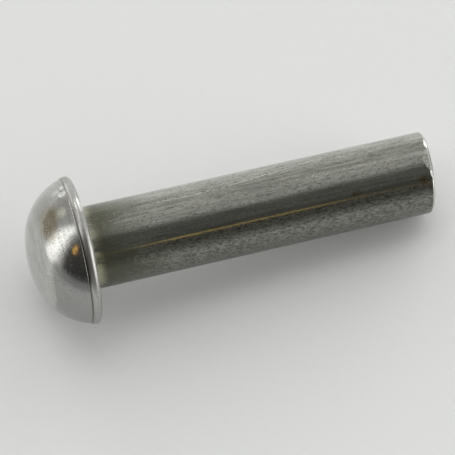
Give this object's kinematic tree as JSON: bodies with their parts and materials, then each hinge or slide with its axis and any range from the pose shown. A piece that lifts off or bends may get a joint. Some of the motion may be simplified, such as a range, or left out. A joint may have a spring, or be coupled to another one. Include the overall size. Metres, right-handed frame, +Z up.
{
  "type": "rivet",
  "caption": "Solid round-head rivet of plain steel, cold headed from wire in one piece, with a polished domed head, a narrow rim and a dull drawn shank with a cropped tail.",
  "frame": {"origin": "on the surface the rivet lies on, under the middle of its bounding box", "axes": "+X from head to tail along the ground, the shank's axis dropping 5.3 degrees towards the tail; +Z up; the shank's axis lies in the XZ plane"},
  "size_m": [0.0302, 0.0108, 0.0108],
  "materials": {
    "steel": "bright, burnished dome and rim; dull, finely pitted and scratched shank with thin dark olive oil staining near the head"
  },
  "bodies": {
    "root": {"rivet": "steel"}
  },
  "joints": []
}
